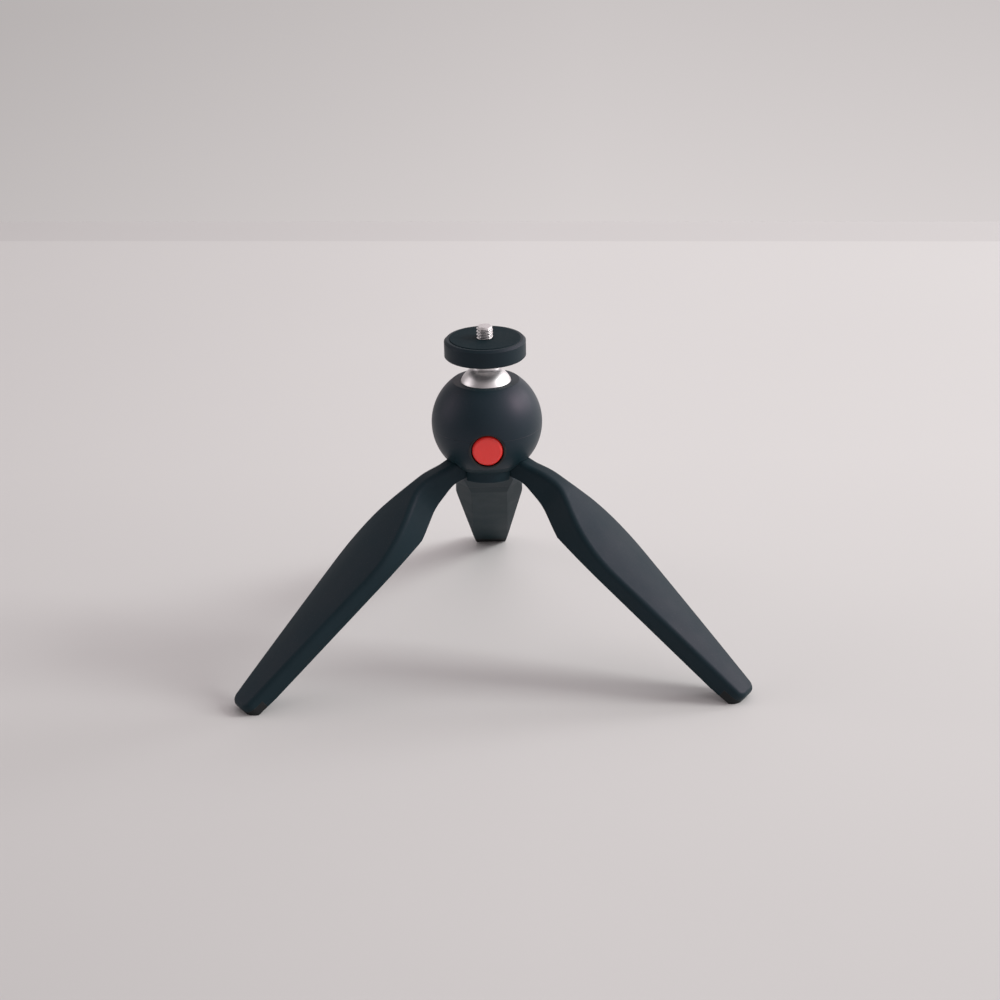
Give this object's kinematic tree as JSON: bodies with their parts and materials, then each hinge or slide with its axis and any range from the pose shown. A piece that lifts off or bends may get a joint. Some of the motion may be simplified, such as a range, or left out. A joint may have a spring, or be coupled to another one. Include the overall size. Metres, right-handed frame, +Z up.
{
  "type": "mini tabletop tripod",
  "caption": "Small tabletop tripod: a round housing with a push-button ball head, a round camera platform with its screw, and folding legs that close into a grip.",
  "frame": {"origin": "on the tripod's centre line, at the tabletop that the feet stand on", "axes": "+Z up along the centre line and the camera screw, the release button faces -Y, the rear leg points to +Y and +X is to the right seen from the button's side"},
  "size_m": [0.199, 0.1736, 0.1349],
  "materials": {
    "housing_black": "soft-touch matt",
    "hub_black": "matt",
    "screw_steel": "zinc plated",
    "plate_steel": "pressed sheet",
    "seat_plastic": "slippery, moulded",
    "ball_aluminium": "turned, satin",
    "spring_steel": "drawn wire",
    "platform_black": "matt black coating",
    "pad_rubber": "matt",
    "camera_screw_steel": "bright, threaded",
    "sleeve_black": "satin",
    "button_red": "satin gloss",
    "plunger_plastic": "moulded",
    "fork_steel": "pressed",
    "cup_plastic": "slippery, moulded",
    "pin_steel": "ground",
    "washer_fibre": "friction material",
    "leg_black": "soft-touch matt",
    "leg_cover_black": "matt",
    "core_steel": "pressed strip",
    "foot_rubber": "matt"
  },
  "bodies": {
    "housing": {"upper_shell": "housing_black", "lower_shell": "housing_black", "hub_base": "hub_black", "hub_screws": "screw_steel", "mechanism_plate": "plate_steel", "mechanism_plate_screws": "screw_steel", "button_sleeve": "sleeve_black", "button_return_spring": "spring_steel", "brake_spring": "spring_steel", "hinge_pin_rear": "pin_steel", "friction_washers_rear": "washer_fibre", "hinge_pin_front_left": "pin_steel", "friction_washers_front_left": "washer_fibre", "hinge_pin_front_right": "pin_steel", "friction_washers_front_right": "washer_fibre"},
    "ball_seat": {"ball_seat_ring": "seat_plastic"},
    "ball_head": {"ball_stud": "ball_aluminium", "stud_clip": "spring_steel"},
    "platform": {"platform_disc": "platform_black", "platform_pad": "pad_rubber", "camera_screw": "camera_screw_steel"},
    "button": {"button_cap": "button_red", "button_plunger": "plunger_plastic", "release_fork": "fork_steel"},
    "brake": {"brake_cup": "cup_plastic"},
    "rear_leg": {"leg_rear_shell": "leg_black", "leg_rear_inner_cover": "leg_cover_black", "leg_rear_core": "core_steel", "leg_rear_foot_pad": "foot_rubber"},
    "front_left_leg": {"leg_front_left_shell": "leg_black", "leg_front_left_inner_cover": "leg_cover_black", "leg_front_left_core": "core_steel", "leg_front_left_foot_pad": "foot_rubber"},
    "front_right_leg": {"leg_front_right_shell": "leg_black", "leg_front_right_inner_cover": "leg_cover_black", "leg_front_right_core": "core_steel", "leg_front_right_foot_pad": "foot_rubber"}
  },
  "joints": [
    {"name": "head_pan", "type": "hinge", "parent": "housing", "child": "ball_seat", "pos_m": [0, 0, 0.1084], "axis": [0, 0, 1], "continuous": true},
    {"name": "head_tilt", "type": "hinge", "parent": "ball_seat", "child": "ball_head", "pos_m": [0, 0, 0.1084], "axis": [1, 0, 0], "range_deg": [-35, 35]},
    {"name": "platform_spin", "type": "hinge", "parent": "ball_head", "child": "platform", "pos_m": [0, 0, 0.1272], "axis": [0, 0, 1], "continuous": true},
    {"name": "button_press", "type": "slide", "parent": "housing", "child": "button", "axis": [0, 1, 0], "range_m": [0, 0.0025], "stiffness_N_per_m": 800, "springref_m": -0.001, "deforming": ["button_return_spring"]},
    {"name": "brake_release", "type": "slide", "parent": "housing", "child": "brake", "axis": [0, 0, -1], "range_m": [0, 0.0006], "stiffness_N_per_m": 1200, "springref_m": -0.001, "deforming": ["brake_spring"]},
    {"name": "rear_leg_fold", "type": "hinge", "parent": "housing", "child": "rear_leg", "pos_m": [0, 0.009, 0.0815], "axis": [-1, 0, 0], "range_deg": [0, 52.4]},
    {"name": "front_left_leg_fold", "type": "hinge", "parent": "housing", "child": "front_left_leg", "pos_m": [-0.00779, -0.0045, 0.0815], "axis": [0.5, -0.866, 0], "range_deg": [0, 52.4]},
    {"name": "front_right_leg_fold", "type": "hinge", "parent": "housing", "child": "front_right_leg", "pos_m": [0.00779, -0.0045, 0.0815], "axis": [0.5, 0.866, 0], "range_deg": [0, 52.4]}
  ],
  "couplings": [
    {"joint": "brake_release", "follows": "button_press", "ratio": 0.24}
  ]
}
